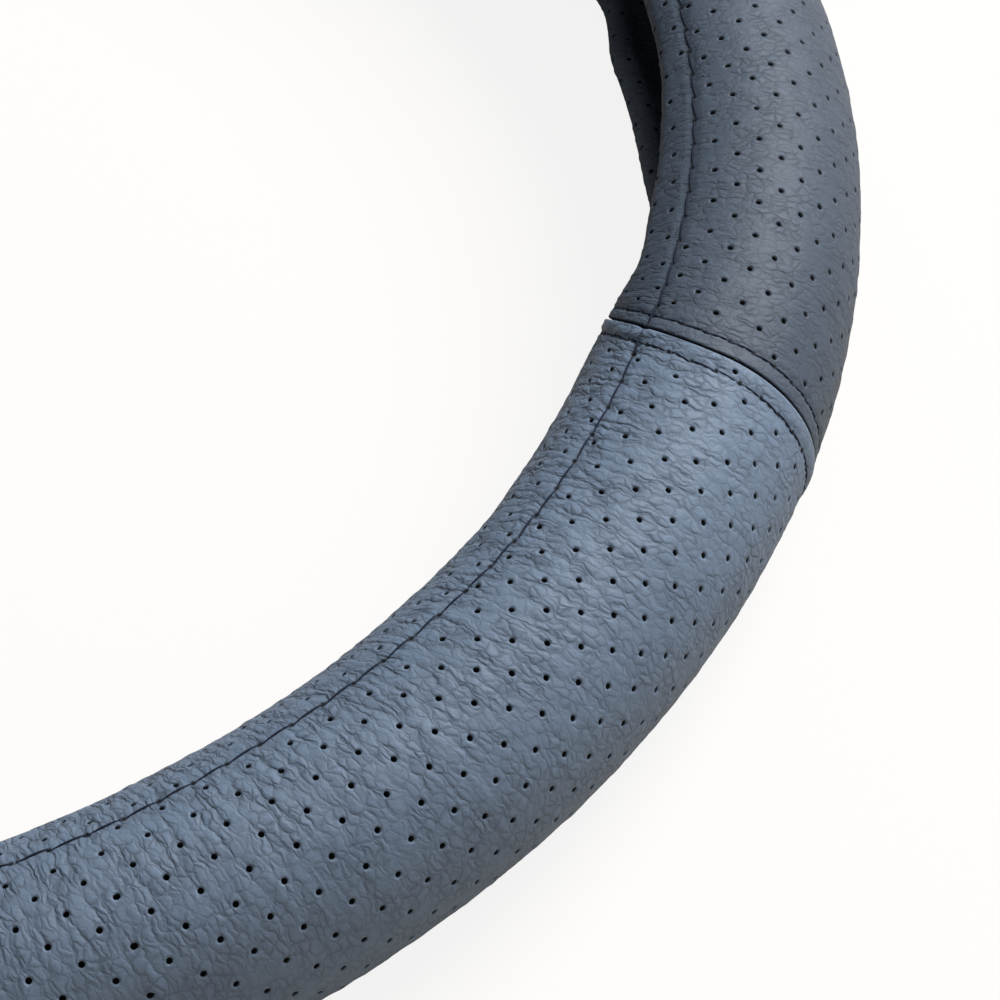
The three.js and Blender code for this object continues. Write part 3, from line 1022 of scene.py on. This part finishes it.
def build_cover():
    under = under_layout()
    for k in range(PANELS):
        start = FIRST_JOIN + k * PANEL_ANGLE
        name = f"perforated_leather_{k + 1}"
        panel = leather_panel(name, start, panel_layout(k), under, LEATHER_SKIN, k)
        dress(panel, f"leather_panel_{k + 1}")
        rubber = rubber_length(f"rubber_length_{k + 1}", start, RUBBER)
        dress(rubber, f"inner_ring_{k + 1}")
        for side, word in ((1, "left"), (-1, "right")):
            row = top_row(f"topstitches_{k + 1}_{word}", start, side, 10 + 2 * k + side)
            dress(row, f"topstitch_{k + 1}_{word}")
        seam = seam_row(f"seam_stitches_{k + 1}", start, 30 + k)
        dress(seam, f"closing_seam_{k + 1}")
    for word, row, seed in (("front", FRONT_STITCH, 1), ("back", BACK_STITCH, 2)):
        dress(hem_row(f"hem_stitches_{word}", row, seed), f"hem_thread_{word}")


# Camera, from the photograph: place and aim in millimetres on the ring's frame

CAMERA_PLACE = (-15.19, -423.34, 417.4)
CAMERA_AIM = (84.5, -118.4, 20.8)
CAMERA_ROLL = math.radians(-7.88)
CAMERA_LENS = 111.0
CAMERA_SENSOR = 36.0


def add_camera():
    camera = add_object("camera", bpy.data.cameras.new("camera"))
    camera.data.lens = CAMERA_LENS
    camera.data.sensor_width = CAMERA_SENSOR
    camera.data.sensor_fit = "HORIZONTAL"
    place = Vector(CAMERA_PLACE) * MM
    look = (Vector(CAMERA_AIM) * MM - place).to_track_quat("-Z", "Y").to_matrix().to_4x4()
    camera.matrix_world = Matrix.Translation(place) @ look @ Matrix.Rotation(CAMERA_ROLL, 4, "Z")
    bpy.context.scene.camera = camera


def add_lamp(name, azimuth, elevation, distance, size, power, colour=(1.0, 1.0, 1.0)):
    lamp = bpy.data.lights.new(name, "AREA")
    lamp.shape = "SQUARE"
    lamp.size = size
    lamp.energy = power
    lamp.color = colour
    a, e = math.radians(azimuth), math.radians(elevation)
    way = Vector((math.cos(a) * math.cos(e), math.sin(a) * math.cos(e), math.sin(e)))
    look = way.to_track_quat("Z", "Y").to_matrix().to_4x4()
    add_object(name, lamp).matrix_world = Matrix.Translation(way * distance) @ look


# The floor: metres from its middle to its sides, how bright it glows, and how much of what the camera
# sees of it is glow
FLOOR_REACH = 6.0
FLOOR_GLOW = 1.06
GLOW_SHARE = 0.82
WORLD_LIGHT = 0.21


def add_floor():
    """A warm floor that lights the cover by what it reflects, and that the camera sees almost white."""
    mesh = bpy.data.meshes.new("floor")
    r = FLOOR_REACH
    mesh.from_pydata([(-r, -r, 0), (r, -r, 0), (r, r, 0), (-r, r, 0)], [], [(0, 1, 2, 3)])
    material, tree = new_material("pale_floor")
    shader = tree.node("ShaderNodeBsdfPrincipled", {"Base Color": FLOOR_COLOUR, "Roughness": 0.9})
    glow = tree.node("ShaderNodeEmission", {"Color": WHITE, "Strength": FLOOR_GLOW})
    seen = tree.node("ShaderNodeLightPath").outputs["Is Camera Ray"]
    shader = tree.node("ShaderNodeMixShader", {
        0: tree.maths("MULTIPLY", seen, GLOW_SHARE), 1: shader.outputs[0], 2: glow.outputs[0]})
    close_material(tree, shader)
    mesh.materials.append(material)
    add_object("floor", mesh)


def add_world():
    world = bpy.data.worlds.new("studio")
    world.use_nodes = True
    back = world.node_tree.nodes["Background"]
    back.inputs["Color"].default_value = WHITE
    back.inputs["Strength"].default_value = WORLD_LIGHT
    bpy.context.scene.world = world


build_cover()
add_camera()
add_floor()
add_world()
add_lamp("key", azimuth=15, elevation=40, distance=1.6, size=0.9, power=42)
add_lamp("fill", azimuth=250, elevation=22, distance=1.8, size=0.9, power=4, colour=(1.0, 0.84, 0.68))
bpy.context.scene.view_settings.view_transform = "Standard"
